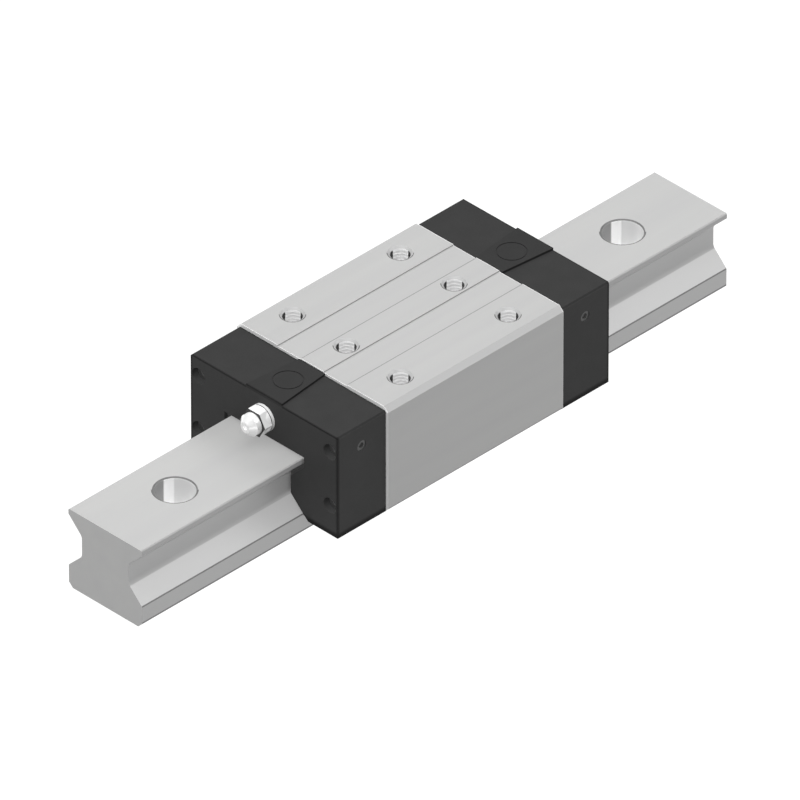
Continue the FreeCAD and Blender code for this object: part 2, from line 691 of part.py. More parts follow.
def make_end_cap(end):
    name = f"{end}_end_cap"
    body = new_body(name)
    sketch = new_sketch(body, f"{name}_outline", "YZ_Plane")
    edge = "Sizes.cap_edge"
    outside = [
        (f"{CAP_SIDE} - {edge}", CAP_TOP),
        (CAP_SIDE, f"{CAP_TOP} - {edge}"),
        (CAP_SIDE, CAP_BOTTOM),
        (f"{RAIL_SIDE} + Sizes.cap_gap + Sizes.leg_chamfer", CAP_BOTTOM),
    ]
    inside = rail_offset("Sizes.cap_gap", f"{CAP_BOTTOM} + Sizes.leg_chamfer")
    add_polygon(sketch, mirrored_outline(outside + inside[::-1]))
    pad(body, f"{name}_block", sketch, "Sizes.cap_length")

    raised = new_sketch(body, f"{name}_pad_outline", "XY_Plane", ("0", "0", CAP_TOP))
    add_polygon(
        raised,
        [
            ("0", "-Sizes.pad_inner_width / 2"),
            ("Sizes.cap_length", "-Sizes.pad_outer_width / 2"),
            ("Sizes.cap_length", "Sizes.pad_outer_width / 2"),
            ("0", "Sizes.pad_inner_width / 2"),
        ],
    )
    pad(body, f"{name}_pad", raised, "Sizes.pad_height")

    seat = new_sketch(body, f"{name}_plate_seat", "YZ_Plane", ("0", "0", "Sizes.plate_thickness"))
    low = f"{CAP_BOTTOM} - 1"
    add_polygon(
        seat,
        [
            (f"-{PLATE_SIDE}", low),
            (f"-{PLATE_SIDE}", PLATE_TOP),
            (PLATE_SIDE, PLATE_TOP),
            (PLATE_SIDE, low),
        ],
    )
    pocket(body, f"{name}_plate_recess", seat, "Sizes.plate_thickness")

    groove = new_sketch(body, f"{name}_groove_outline", "YZ_Plane", ("0", "0", SEAL_OUTER_FACE))
    add_polygon(groove, mirrored_outline(rail_offset("(Sizes.cap_gap + Sizes.seal_groove_depth)", low)))
    pocket(body, f"{name}_seal_groove", groove, SEAL_WIDTH)

    for row, circuit in CIRCUITS.items():
        for hand, side in SIDES.items():
            outside = turn_radius(circuit, "+")
            name_of_turn = f"{end}_{hand}_{row}_turn"
            half_disc(body, "SubtractiveCylinder", name_of_turn, circuit, side, outside, CHANNEL_WIDTH)

    head_bore = "Sizes.screw_head + 2 * Sizes.screw_clearance"
    clear = "Sizes.screw_shank + 2 * Sizes.screw_clearance"
    for number, (across, up) in enumerate(screw_places()):
        turned(
            body,
            "Groove",
            f"{end}_screw_hole_{number}",
            "XY_Plane",
            ("0", across, up),
            "H_Axis",
            [
                ("-1", "0"),
                ("-1", f"({clear}) / 2"),
                (HEAD_SEAT, f"({clear}) / 2"),
                (HEAD_SEAT, f"({head_bore}) / 2"),
                ("Sizes.cap_length + 1", f"({head_bore}) / 2"),
                ("Sizes.cap_length + 1", "0"),
            ],
        )

    thread = "Sizes.nipple_thread / 2 + Sizes.thread_clearance"
    turned(
        body,
        "Groove",
        f"{end}_nipple_hole",
        "XY_Plane",
        ("0", "0", NIPPLE_HEIGHT),
        "H_Axis",
        [
            ("-1", "0"),
            ("-1", "Sizes.oilway / 2"),
            (f"Sizes.cap_length - {NIPPLE_SEAT_DEPTH}", "Sizes.oilway / 2"),
            (f"Sizes.cap_length - {NIPPLE_SEAT_DEPTH}", thread),
            ("Sizes.cap_length + 1", thread),
            ("Sizes.cap_length + 1", "0"),
        ],
    )
    turned(
        body,
        "Groove",
        f"{end}_oilway",
        "XY_Plane",
        ("Sizes.cap_length / 2", "0", NIPPLE_HEIGHT),
        "V_Axis",
        [
            ("0", f"-({FEED_SIDE} + Sizes.oilway_overrun)"),
            ("Sizes.oilway / 2", f"-({FEED_SIDE} + Sizes.oilway_overrun)"),
            ("Sizes.oilway / 2", f"{FEED_SIDE} + Sizes.oilway_overrun"),
            ("0", f"{FEED_SIDE} + Sizes.oilway_overrun"),
        ],
    )
    port = "Sizes.port_bore / 2 + Sizes.thread_clearance"
    feed_foot = row_place(CIRCUITS["upper"], 1, 0.25)[1]
    for hand, side in SIDES.items():
        turned(
            body,
            "Groove",
            f"{end}_{hand}_feed",
            "XZ_Plane",
            ("Sizes.cap_length / 2", "0", f"{-side} * {FEED_SIDE}"),
            "V_Axis",
            [
                ("0", NIPPLE_HEIGHT),
                ("Sizes.feed / 2", NIPPLE_HEIGHT),
                ("Sizes.feed / 2", feed_foot),
                ("0", feed_foot),
            ],
        )
        turned(
            body,
            "Groove",
            f"{end}_{hand}_port",
            "XY_Plane",
            ("Sizes.cap_length / 2", "0", NIPPLE_HEIGHT),
            "V_Axis",
            [
                ("0", f"{side} * ({CAP_SIDE} - Sizes.port_depth)"),
                (port, f"{side} * ({CAP_SIDE} - Sizes.port_depth)"),
                (port, f"{side} * ({CAP_SIDE} + 1)"),
                ("0", f"{side} * ({CAP_SIDE} + 1)"),
            ],
        )
    pad_top = f"({CAP_TOP} + Sizes.pad_height)"
    turned(
        body,
        "Groove",
        f"{end}_port_ring",
        "XZ_Plane",
        ("Sizes.cap_length / 2", "0", "0"),
        "V_Axis",
        [
            ("Sizes.port_ring / 2", f"{pad_top} + 1"),
            ("Sizes.port_ring / 2", f"{pad_top} - Sizes.port_ring_depth"),
            ("Sizes.port_ring / 2 - Sizes.port_ring_groove", f"{pad_top} - Sizes.port_ring_depth"),
            ("Sizes.port_ring / 2 - Sizes.port_ring_groove", f"{pad_top} + 1"),
        ],
    )
    place_at_end(body, end)
    return body


def make_seal_part(name, end, gap, thickness, beyond):
    """One layer of the end seal: a U-shaped sheet round the rail, its root in the cap's groove."""
    body = new_body(name)
    sketch = new_sketch(body, f"{name}_outline", "YZ_Plane")
    outside = rail_offset("(Sizes.cap_gap + Sizes.seal_groove_depth)", CAP_BOTTOM)
    inside = rail_offset(gap, CAP_BOTTOM)
    add_polygon(sketch, mirrored_outline(outside + inside[::-1]))
    pad(body, f"{name}_sheet", sketch, thickness)
    round_waist(body, f"{name}_waist_rounding", gap)
    place_at_end(body, end, beyond)
    return body


def make_cap_screw(body, name, across, up):
    """One socket-head screw, its thread in the block and its head sunk in the cap."""
    tip = "-Sizes.screw_grip"
    top = f"{HEAD_SEAT} + Sizes.screw_head_height"
    turned(
        body,
        "Revolution",
        name,
        "XY_Plane",
        ("0", across, up),
        "H_Axis",
        [
            (tip, "0"),
            (tip, "Sizes.screw_shank / 2"),
            (HEAD_SEAT, "Sizes.screw_shank / 2"),
            (HEAD_SEAT, "Sizes.screw_head / 2"),
            (top, "Sizes.screw_head / 2"),
            (top, "0"),
        ],
    )
    socket = new_sketch(body, f"{name}_socket_outline", "YZ_Plane", ("0", "0", top))
    add_hexagon(socket, across, up, "Sizes.screw_socket")
    pocket(body, f"{name}_socket", socket, "Sizes.screw_socket_depth")


def make_cap_screws(end):
    """The four screws of one cap, as one group."""
    screws = []
    for number, (across, up) in enumerate(screw_places()):
        body = document.addObject("PartDesign::Body", f"{end}_cap_screw_{number}")
        make_cap_screw(body, f"{end}_screw_{number}", across, up)
        place_at_end(body, end)
        screws.append(body)
    return make_group(f"{end}_cap_screws", screws)


def make_side_plugs(end):
    """The two grub screws that close the cap's side ports."""
    plugs = []
    for hand, side in SIDES.items():
        name = f"{end}_{hand}_plug"
        body = document.addObject("PartDesign::Body", name)
        outer = f"({CAP_SIDE} - Sizes.plug_sink)"
        place = ("Sizes.cap_length / 2", "0", NIPPLE_HEIGHT)
        turned(
            body,
            "Revolution",
            f"{name}_turning",
            "XY_Plane",
            place,
            "V_Axis",
            [
                ("0", f"{side} * ({outer} - Sizes.plug_length)"),
                ("Sizes.port_bore / 2", f"{side} * ({outer} - Sizes.plug_length)"),
                ("Sizes.port_bore / 2", f"{side} * {outer}"),
                ("0", f"{side} * {outer}"),
            ],
        )
        socket = new_sketch(body, f"{name}_socket_outline", "XZ_Plane", ("0", "0", f"{-side} * {outer}"))
        add_hexagon(socket, "Sizes.cap_length / 2", NIPPLE_HEIGHT, "Sizes.plug_socket")
        pocket(body, f"{name}_socket", socket, "Sizes.plug_socket_depth", backwards=side > 0)
        place_at_end(body, end)
        plugs.append(body)
    return make_group(f"{end}_side_plugs", plugs)


def make_group(name, bodies):
    group = document.addObject("Part::Compound", name)
    group.Label = name
    group.Links = bodies
    return group


def make_port_plug():
    """The grub screw in the rear cap's nipple hole."""
    body = new_body("rear_port_plug")
    top = "(Sizes.cap_length - Sizes.plug_sink)"
    turned(
        body,
        "Revolution",
        "port_plug_turning",
        "XY_Plane",
        ("0", "0", NIPPLE_HEIGHT),
        "H_Axis",
        [
            (f"{top} - Sizes.port_plug_length", "0"),
            (f"{top} - Sizes.port_plug_length", "Sizes.nipple_thread / 2"),
            (top, "Sizes.nipple_thread / 2"),
            (top, "0"),
        ],
    )
    socket = new_sketch(body, "port_plug_socket_outline", "YZ_Plane", ("0", "0", top))
    add_hexagon(socket, "0", NIPPLE_HEIGHT, "Sizes.port_plug_socket")
    pocket(body, "port_plug_socket", socket, "Sizes.port_plug_socket_depth")
    place_at_end(body, "rear")
    return body


def make_nipple():
    """The grease nipple: thread, collar, hexagon and tapered head, and a stepped bore for its valve."""
    body = new_body("grease_nipple")
    collar = "Sizes.nipple_collar_length"
    hexagon = f"({collar} + Sizes.nipple_hexagon_length)"
    sketch = new_sketch(body, "nipple_hexagon_outline", "YZ_Plane", ("0", "0", collar))
    add_hexagon(sketch, "0", NIPPLE_HEIGHT, "Sizes.nipple_hexagon")
    pad(body, "nipple_hexagon", sketch, "Sizes.nipple_hexagon_length")
    turned(
        body,
        "Revolution",
        "nipple_turning",
        "XY_Plane",
        ("0", "0", NIPPLE_HEIGHT),
        "H_Axis",
        [
            ("-Sizes.nipple_thread_length", "0"),
            ("-Sizes.nipple_thread_length", "Sizes.nipple_thread / 2"),
            ("0", "Sizes.nipple_thread / 2"),
            ("0", "Sizes.nipple_collar / 2"),
            (collar, "Sizes.nipple_collar / 2"),
            (hexagon, "Sizes.nipple_head / 2"),
            (f"{NIPPLE_REACH} - Sizes.nipple_head / 4", "Sizes.nipple_head / 2"),
            (NIPPLE_REACH, "Sizes.nipple_head / 4"),
            (NIPPLE_REACH, "0"),
        ],
    )
    turned(
        body,
        "Groove",
        "nipple_bore",
        "XY_Plane",
        ("0", "0", NIPPLE_HEIGHT),
        "H_Axis",
        [
            ("-Sizes.nipple_thread_length - 1", "0"),
            ("-Sizes.nipple_thread_length - 1", "Sizes.nipple_mouth / 2"),
            (f"{SPRING_FOOT} - Sizes.valve_spring_gap", "Sizes.nipple_mouth / 2"),
            (f"{SPRING_FOOT} - Sizes.valve_spring_gap", "Sizes.nipple_bore / 2"),
            (BALL_SEAT, "Sizes.nipple_bore / 2"),
            (BALL_SEAT, "Sizes.nipple_mouth / 2"),
            (f"{NIPPLE_REACH} + 1", "Sizes.nipple_mouth / 2"),
            (f"{NIPPLE_REACH} + 1", "0"),
        ],
    )
    place_at_end(body, "front", "Sizes.cap_length")
    return body


def make_valve_ball():
    """The ball that closes the nipple's mouth."""
    ball = document.addObject("Part::Sphere", "nipple_ball")
    ball.Label = "nipple_ball"
    ball.setExpression("Radius", "Sizes.valve_ball / 2")
    seat = f"Sizes.block_length / 2 + Sizes.cap_length + {BALL_SEAT}"
    ball.setExpression("Placement.Base.x", f"-({seat} - Sizes.valve_ball / 2)")
    ball.setExpression("Placement.Base.z", NIPPLE_HEIGHT)
    return ball


def make_valve_spring():
    """The coil spring behind the ball, wound from square wire between the bore's end and the ball."""
    body = new_body("nipple_spring")
    wire = new_sketch(body, "spring_wire", "XY_Plane", ("0", "0", NIPPLE_HEIGHT))
    inner = "(Sizes.valve_spring_coil / 2 - Sizes.valve_spring_wire / 2)"
    outer = "(Sizes.valve_spring_coil / 2 + Sizes.valve_spring_wire / 2)"
    first_end = f"({SPRING_FOOT} + Sizes.valve_spring_wire)"
    add_polygon(wire, [(SPRING_FOOT, inner), (first_end, inner), (first_end, outer), (SPRING_FOOT, outer)])
    coil = body.newObject("PartDesign::AdditiveHelix", "spring_coil")
    coil.Profile = wire
    coil.ReferenceAxis = (wire, ["H_Axis"])
    coil.Mode = "pitch-height-angle"
    coil.setExpression("Pitch", "Sizes.valve_spring_pitch")
    coil.setExpression("Height", "Sizes.valve_spring_length - Sizes.valve_spring_wire")
    place_at_end(body, "front", "Sizes.cap_length")
    return body


def write_parts(pieces):
    """Tests every object, then writes one STEP file for each piece."""
    document.recompute()
    failed = [o.Name for o in document.Objects if "Invalid" in o.State or "Error" in o.State]
    if failed:
        raise RuntimeError(f"these objects didn't build: {failed}")
    for piece in pieces:
        if piece.Shape.isNull() or not piece.Shape.isValid() or not piece.Shape.Solids:
            raise RuntimeError(f"{piece.Label} has no valid shape")
    os.makedirs("parts", exist_ok=True)
    for piece in pieces:
        piece.Shape.exportStep(f"parts/{piece.Label}.step")


pieces = [make_rail(), make_block(), *make_strips()]
for hand in SIDES:
    for row, circuit in CIRCUITS.items():
        pieces.append(make_return_tube(hand, row, circuit))
        pieces.append(make_rollers(hand, row, circuit))
for end in ENDS:
    pieces.append(make_end_cap(end))
    pieces.append(make_turnaround_plate(end))
    for hand in SIDES:
        pieces.append(make_inner_guide(end, hand))
    lip = "Sizes.seal_lip_thickness"
    backing = "Sizes.seal_backing_thickness"
    lip_start = f"({SEAL_OUTER_FACE} - {lip})"
    backing_start = f"({SEAL_OUTER_FACE} - {SEAL_WIDTH})"
    pieces.append(make_seal_part(f"{end}_seal_lip", end, "Sizes.seal_gap", lip, lip_start))
    pieces.append(make_seal_part(f"{end}_seal_backing", end, "Sizes.backing_gap", backing, backing_start))
    pieces.append(make_cap_screws(end))
    pieces.append(make_side_plugs(end))
pieces.append(make_port_plug())
pieces.append(make_nipple())
pieces.append(make_valve_ball())
pieces.append(make_valve_spring())
write_parts(pieces)
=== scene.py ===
"""Looks for the roller linear guide: a ground steel rail and the carriage that slides along it.

Lengths are in metres. X runs along the rail, Y to the left and Z up, from the middle of the rail's underside.
"""

import json
import math
from collections import namedtuple

import bmesh
import bpy
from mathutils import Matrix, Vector


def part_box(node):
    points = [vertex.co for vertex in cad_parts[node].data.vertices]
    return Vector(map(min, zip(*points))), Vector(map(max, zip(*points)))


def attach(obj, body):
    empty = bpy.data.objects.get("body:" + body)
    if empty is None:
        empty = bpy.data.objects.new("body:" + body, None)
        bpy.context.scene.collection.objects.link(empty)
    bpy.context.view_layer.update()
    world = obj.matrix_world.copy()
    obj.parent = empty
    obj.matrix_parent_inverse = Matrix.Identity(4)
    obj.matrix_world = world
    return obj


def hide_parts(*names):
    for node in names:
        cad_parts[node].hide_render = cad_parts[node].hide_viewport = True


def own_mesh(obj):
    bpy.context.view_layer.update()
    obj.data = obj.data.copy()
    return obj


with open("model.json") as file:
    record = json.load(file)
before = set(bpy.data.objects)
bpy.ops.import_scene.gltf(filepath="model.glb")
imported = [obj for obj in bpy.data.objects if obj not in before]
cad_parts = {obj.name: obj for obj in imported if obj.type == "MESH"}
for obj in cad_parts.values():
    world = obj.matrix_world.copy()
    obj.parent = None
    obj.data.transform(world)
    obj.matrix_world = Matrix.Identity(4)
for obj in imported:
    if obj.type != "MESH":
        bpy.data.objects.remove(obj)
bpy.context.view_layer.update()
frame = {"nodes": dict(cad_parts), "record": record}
nodes = frame["nodes"]

# Camera and floor. The lens and the sensor are in millimetres, and FRAME_WIDTH is what the picture takes in.
LENS = 1200
SENSOR_WIDTH = 36
FRAME_WIDTH = 0.2631
CAMERA_AIM = (-0.00006, 0.00006, 0.0148)
CAMERA_SIDE = (-1, -1, 1)
CAMERA_CLIP = (0.5, 4)
FLOOR_HEIGHT = -0.00005
FLOOR_REACH = 6
FLOOR_SHADE = 0.1
FLOOR_GLOW = 0.93

# Light. The photograph shows hardly any shadow, so only one softbox casts shadows. Each light has its name, place,
# width and watts, and whether it casts them.
WORLD_LIGHT = 0.25
LIGHT_AIM = (0, 0, 0.03)
LIGHTS = (
    ("top_softbox", (-0.3, 0.0, 1.15), 1.2, 5.4, True),
    ("top_fill", (-0.3, 0.0, 1.15), 1.2, 20.7, False),
    ("back_fill", (0.75, 0.65, 0.75), 0.8, 3.2, False),
    ("right_fill", (0.75, -0.75, 0.75), 0.8, 3.6, False),
)

# The bored holes: radius, radius of the mouth, the mouth's painted shading, the wall's painted highlight and
# shade, and the wall's painted glow. The wall's greys are (place, grey), with the place going round from 0 at the
# wall's left to 1 at its right.
Bore = namedtuple("Bore", "radius mouth mouth_shade streaks gleam")
RAIL_BORE = Bore(
    radius=0.007,
    mouth=0.0075,
    # The rail bores' dark mouth is painted shade.
    mouth_shade=0.16,
    streaks=((0, 0.22), (0.22, 0.27), (0.25, 0.90), (0.46, 0.90), (0.49, 0.66), (1, 0.71)),
    gleam=0.12,
)
TABLE_BORE = Bore(
    radius=0.0034,
    mouth=0.0042,
    # The table bores' light mouth is painted light, as bright as the top.
    mouth_shade=0.43,
    streaks=((0, 0.0), (0.13, 0.0), (0.15, 0.84), (0.88, 0.84), (0.9, 0.0), (1, 0.0)),
    gleam=0.08,
)
# How far past its radius a bore's wall is painted, and how far past it the mouth's paint starts
BORE_WALL_DEPTH = 0.00004
BORE_MOUTH_START = 0.00005
# The painted shade line round the mouth's near side
BORE_LIP_WIDTH = 0.0003
BORE_LIP_PAINTED_SHADE = 0.06

# Rail. A band is a range of heights, and it is painted on every face between the rail's ends. The bands carry
# painted light and painted shade, and the raceways' lighter grey is partly their finer finish and partly painted
# light.
RAIL_HALF_LENGTH = 0.136
RAIL_HOLE_PITCH = 0.052
RAIL_SHADES = (0.320, 0.338)
RAIL_METALLIC = 0.1
RACEWAY_METALLIC = 0.25
RACEWAYS = ((0.0088, 0.0142), (0.0234, 0.0288))
RACEWAY_FINISH_AND_PAINTED_LIGHT = 0.448
# Painted light on the waist and the foot's side, painted shade on the head's side, and painted shade lines on the
# foot's edges.
RAIL_PAINTED_SHADING_BANDS = (
    ((0.0142, 0.0234), 0.349),  # the waist
    ((0.0288, 0.0306), 0.295),  # the head's side
    ((0.0021, 0.0083), 0.345),  # the foot's side
    ((0.0016, 0.0024), 0.13),  # the line along the foot's lower edge
    ((0.0083, 0.0088), 0.13),  # the line along its upper edge
)

# Carriage block. Its ends are painted light, brightest above the caps, its top chamfers are painted light too, and
# each recess has a painted shade line along its far side, as has the lower edge.
BLOCK_HALF_LENGTH = 0.04075
BLOCK_TOP_HALF_WIDTH = 0.03325
BLOCK_CROWN = 0.0492
BLOCK_SHADES = (0.305, 0.323)
BLOCK_CHAMFER_PAINTED_LIGHT = 0.37
BLOCK_LOW_EDGE = (0.0085, 0.009)
BLOCK_LOW_EDGE_PAINTED_SHADE = 0.13
BLOCK_END_PAINTED_LIGHT = 0.6
BLOCK_UPPER_END_PAINTED_LIGHT = 0.9
RECESS_FAR_EDGES = (0.0053, -0.016)
RECESS_DEPTH = 0.0005
RECESS_LINE = 0.00022
RECESS_LINE_PAINTED_SHADE = 0.1
TABLE_PITCH_X = 0.05
TABLE_PITCH_Y = 0.025

# End caps. Their top and pad are painted darker as shade. The painted shade lines along the top start at
# CAP_LINE_START, or higher by the pad's height where the pad is. A corner's painted shade line fades out between
# its two distances from the corner.
CAP_HALF_LENGTH = 0.063
CAP_HALF_WIDTH = 0.0341
CAP_CROWN = 0.0474
CAP_SHADES = (0.035, 0.042)
CAP_CROWN_PAINTED_SHADES = (0.024, 0.031)
CAP_LINE_START = 0.0473
CAP_LINE = 0.0004
CAP_LINE_PAINTED_SHADE = 0.016
CAP_FOOT = (0.0088, 0.0101)
CAP_FOOT_PAINTED_SHADE = 0.012
CAP_CORNER = (0.0003, 0.0011)
CAP_CORNER_PAINTED_SHADE = 0.008
CAP_CORNER_STRENGTH = 0.75
PAD_CROWN = 0.0483
PAD_HEIGHT = 0.0009
PAD_HALF_WIDTH = 0.0084
PAD_PAINTED_SHADES = (0.022, 0.027)

# Ground steel. A place this near the end of the rail or the block counts as being on the end's face.
END_FACE = 0.0001
GROUND_ROUGHNESS = 0.4

# Grease nipple
NIPPLE_SHADES = (0.88, 0.95)
NIPPLE_SHOULDERS = (-0.0642, -0.0678)
NIPPLE_LINE = 0.00014
NIPPLE_LINE_PAINTED_SHADE = 0.03

# Surface patterns, in waves per metre along X, Y and Z
GRINDING_STREAKS = (6, 140, 140)
GRINDING_LINES = (25, 5000, 5000)
METAL_CLOUDS = (250, 250, 250)
METAL_MARKS = (3500, 2100, 2100)
NIPPLE_MARKS = (900, 3500, 3500)
PLASTIC_CLOUDS = (120, 120, 120)
CROWN_CLOUDS = (140, 140, 140)
PLASTIC_GRAIN = (1800, 1800, 1800)
RUBBER_GRAIN = (3000, 3000, 3000)

# Threads and the valve's spring. A ridge's half width is a share of its pitch, and its root lies inside the steel.
THREAD_PITCH = 0.00125
THREAD_DEPTH = 0.0105
THREAD_START = 0.0012
THREAD_HALF_WIDTH = 0.42
THREAD_ROOT = 0.0001
THREAD_HEIGHT = 0.00012
THREAD_STEPS = 36
SPRING_WIRE = 0.0003
SPRING_WIRE_SIDES = 10
SPRING_PITCH = 0.0008
SPRING_STEPS = 24


# Camera, floor and lights


def add_camera():
    """The photograph looks down along the isometric direction. A long lens keeps its parallel lines."""
    data = bpy.data.cameras.new("camera")
    data.lens = LENS
    data.sensor_width = SENSOR_WIDTH
    back = Vector(CAMERA_SIDE).normalized()
    distance = FRAME_WIDTH * LENS / SENSOR_WIDTH
    camera = bpy.data.objects.new("camera", data)
    camera.location = Vector(CAMERA_AIM) + back * distance
    camera.rotation_mode = "QUATERNION"
    camera.rotation_quaternion = (-back).to_track_quat("-Z", "Y")
    data.clip_start, data.clip_end = (distance * share for share in CAMERA_CLIP)
    bpy.context.scene.collection.objects.link(camera)
    bpy.context.scene.camera = camera


def add_floor():
    """A white floor, with light of its own so that it is as white as the photograph's background."""
    mesh = bpy.data.meshes.new("floor")
    corners = [(x * FLOOR_REACH, y * FLOOR_REACH, FLOOR_HEIGHT) for x, y in ((-1, -1), (1, -1), (1, 1), (-1, 1))]
    mesh.from_pydata(corners, [], [(0, 1, 2, 3)])
    floor = bpy.data.objects.new("floor", mesh)
    bpy.context.scene.collection.objects.link(floor)
    material = bpy.data.materials.new("floor_paper")
    material.use_nodes = True
    shader = material.node_tree.nodes["Principled BSDF"]
    shader.inputs["Base Color"].default_value = (*grey(FLOOR_SHADE), 1)
    shader.inputs["Roughness"].default_value = 0.9
    shader.inputs["Specular IOR Level"].default_value = 0.1
    shader.inputs["Emission Color"].default_value = (1, 1, 1, 1)
    shader.inputs["Emission Strength"].default_value = FLOOR_GLOW
    mesh.materials.append(material)


def add_area_light(name, place, width, power, shadows):
    """A square light, turned towards the carriage."""
    data = bpy.data.lights.new(name, "AREA")
    data.shape = "SQUARE"
    data.size = width
    data.energy = power
    data.use_shadow = shadows
    light = bpy.data.objects.new(name, data)
    light.location = place
    light.rotation_mode = "QUATERNION"
    light.rotation_quaternion = (Vector(LIGHT_AIM) - Vector(place)).to_track_quat("-Z", "Y")
    bpy.context.scene.collection.objects.link(light)


def add_lights():
    """The area lights, and a little white light from all round."""
    world = bpy.data.worlds.new("studio")
    bpy.context.scene.world = world
    world.use_nodes = True
    background = world.node_tree.nodes["Background"]
    background.inputs["Color"].default_value = (1, 1, 1, 1)
    background.inputs["Strength"].default_value = WORLD_LIGHT
    for light in LIGHTS:
        add_area_light(*light)
    bpy.context.scene.view_settings.view_transform = "Standard"


# Materials. Every pattern is worked out from the object's own coordinates. Shades go from 0, black, to 1, white.


class Recipe:
    """Builds one node material round its Principled shader."""

    def __init__(self, name, metallic, roughness, gloss=0.5):
        self.material = bpy.data.materials.new(name)
        self.material.use_nodes = True
        self.tree = self.material.node_tree
        self.shader = self.tree.nodes["Principled BSDF"]
        self.shader.inputs["Metallic"].default_value = metallic
        self.shader.inputs["Roughness"].default_value = roughness
        self.shader.inputs["Specular IOR Level"].default_value = gloss
        self.places = self.tree.nodes.new("ShaderNodeTexCoord").outputs["Object"]
        axes = self.tree.nodes.new("ShaderNodeSeparateXYZ")
        self.tree.links.new(self.places, axes.inputs["Vector"])
        self.x, self.y, self.z = axes.outputs["X"], axes.outputs["Y"], axes.outputs["Z"]

    def feed(self, value, socket):
        """Gives a socket a number, a colour or another node's result."""
        if isinstance(value, bpy.types.NodeSocket):
            self.tree.links.new(value, socket)
        elif isinstance(value, tuple) and len(value) == 3 and socket.type == "RGBA":
            socket.default_value = (*value, 1)
        else:
            socket.default_value = value

    def noise(self, scale, detail=3.0, rough=0.5):
        """Noise between 0 and 1; scale is waves per metre along X, Y and Z."""
        mapping = self.tree.nodes.new("ShaderNodeMapping")
        mapping.inputs["Scale"].default_value = scale
        self.tree.links.new(self.places, mapping.inputs["Vector"])
        noise = self.tree.nodes.new("ShaderNodeTexNoise")
        noise.inputs["Scale"].default_value = 1.0
        noise.inputs["Detail"].default_value = detail
        noise.inputs["Roughness"].default_value = rough
        self.tree.links.new(mapping.outputs["Vector"], noise.inputs["Vector"])
        return noise.outputs["Fac"]

    def spread(self, value, low, high, start=0.25, end=0.75):
        """Takes a value from between start and end to between low and high."""
        node = self.tree.nodes.new("ShaderNodeMapRange")
        node.inputs["To Min"].default_value = low
        node.inputs["To Max"].default_value = high
        node.inputs["From Min"].default_value = start
        node.inputs["From Max"].default_value = end
        self.feed(value, node.inputs["Value"])
        return node.outputs["Result"]

    def math(self, operation, *values):
        node = self.tree.nodes.new("ShaderNodeMath")
        node.operation = operation
        for value, socket in zip(values, node.inputs):
            self.feed(value, socket)
        return node.outputs["Value"]

    def size(self, value):
        return self.math("ABSOLUTE", value)

    def above(self, value, limit):
        """1 where a value is more than a limit, and 0 elsewhere."""
        return self.math("GREATER_THAN", value, limit)

    def below(self, value, limit):
        """1 where a value is less than a limit, and 0 elsewhere."""
        return self.math("LESS_THAN", value, limit)

    def within(self, value, low, high):
        """1 where a value lies between two others, and 0 elsewhere."""
        return self.math("COMPARE", value, (low + high) / 2, (high - low) / 2)

    def both(self, first, second):
        """1 where two masks are 1, and 0 elsewhere."""
        return self.math("MULTIPLY", first, second)

    def mix(self, factor, first, second):
        """One colour at 0 and another at 1."""
        node = self.tree.nodes.new("ShaderNodeMix")
        node.data_type = "RGBA"
        self.feed(first, node.inputs["A"])
        self.feed(second, node.inputs["B"])
        self.feed(factor, node.inputs["Factor"])
        return node.outputs["Result"]

    def clouded(self, factor, shades):
        """A grey between a dark and a light shade."""
        dark, light = shades
        return self.mix(factor, grey(dark), grey(light))

    def distance(self, across, along):
        """How far a place is from an axis, from its two distances across it."""
        squares = self.math("ADD", self.math("MULTIPLY", across, across), self.math("MULTIPLY", along, along))
        return self.math("SQRT", squares)

    def paint(self, color):
        self.feed(color, self.shader.inputs["Base Color"])

    def polish(self, value, low, high):
        self.feed(self.spread(value, low, high), self.shader.inputs["Roughness"])

    def relief(self, value, strength, depth):
        node = self.tree.nodes.new("ShaderNodeBump")
        node.inputs["Strength"].default_value = strength
        node.inputs["Distance"].default_value = depth
        self.feed(value, node.inputs["Height"])
        self.feed(node.outputs["Normal"], self.shader.inputs["Normal"])

    def ramp(self, value, stops):
        """Greys set out along a value between 0 and 1."""
        node = self.tree.nodes.new("ShaderNodeValToRGB")
        elements = node.color_ramp.elements
        while len(elements) < len(stops):
            elements.new(0.5)
        for element, (place, shade) in zip(elements, stops):
            element.position = place
            element.color = (shade, shade, shade, 1)
        self.feed(value, node.inputs["Fac"])
        return node.outputs["Color"]


def grey(shade, warmth=0.0):
    return (shade, shade, shade * (1 - warmth))


def bored_holes(recipe, color, local_x, local_y, bore):
    """Turned walls with upright streaks of painted highlight and shade and a painted glow, painted shading on the
    mouth, and a painted shade line along the near lip.
    """
    off_axis = recipe.distance(local_x, local_y)
    aside = recipe.math("DIVIDE", recipe.math("SUBTRACT", local_x, local_y), off_axis)
    # The walls get upright streaks of painted highlight and shade, and a painted glow.
    streaks = recipe.ramp(recipe.spread(aside, 0, 1, -math.sqrt(2), math.sqrt(2)), bore.streaks)
    inside = recipe.below(off_axis, bore.radius + BORE_WALL_DEPTH)
    recipe.feed(recipe.mix(inside, grey(0), streaks), recipe.shader.inputs["Emission Color"])
    recipe.shader.inputs["Emission Strength"].default_value = bore.gleam
    # The near side of each mouth gets a painted shade line.
    near = recipe.below(recipe.math("ADD", local_x, local_y), 0)
    lip = recipe.both(near, recipe.within(off_axis, bore.mouth, bore.mouth + BORE_LIP_WIDTH))
    mouth = recipe.within(off_axis, bore.radius + BORE_MOUTH_START, bore.mouth)
    color = recipe.mix(inside, color, streaks)
    color = recipe.mix(mouth, color, grey(bore.mouth_shade))
    return recipe.mix(lip, color, grey(BORE_LIP_PAINTED_SHADE))


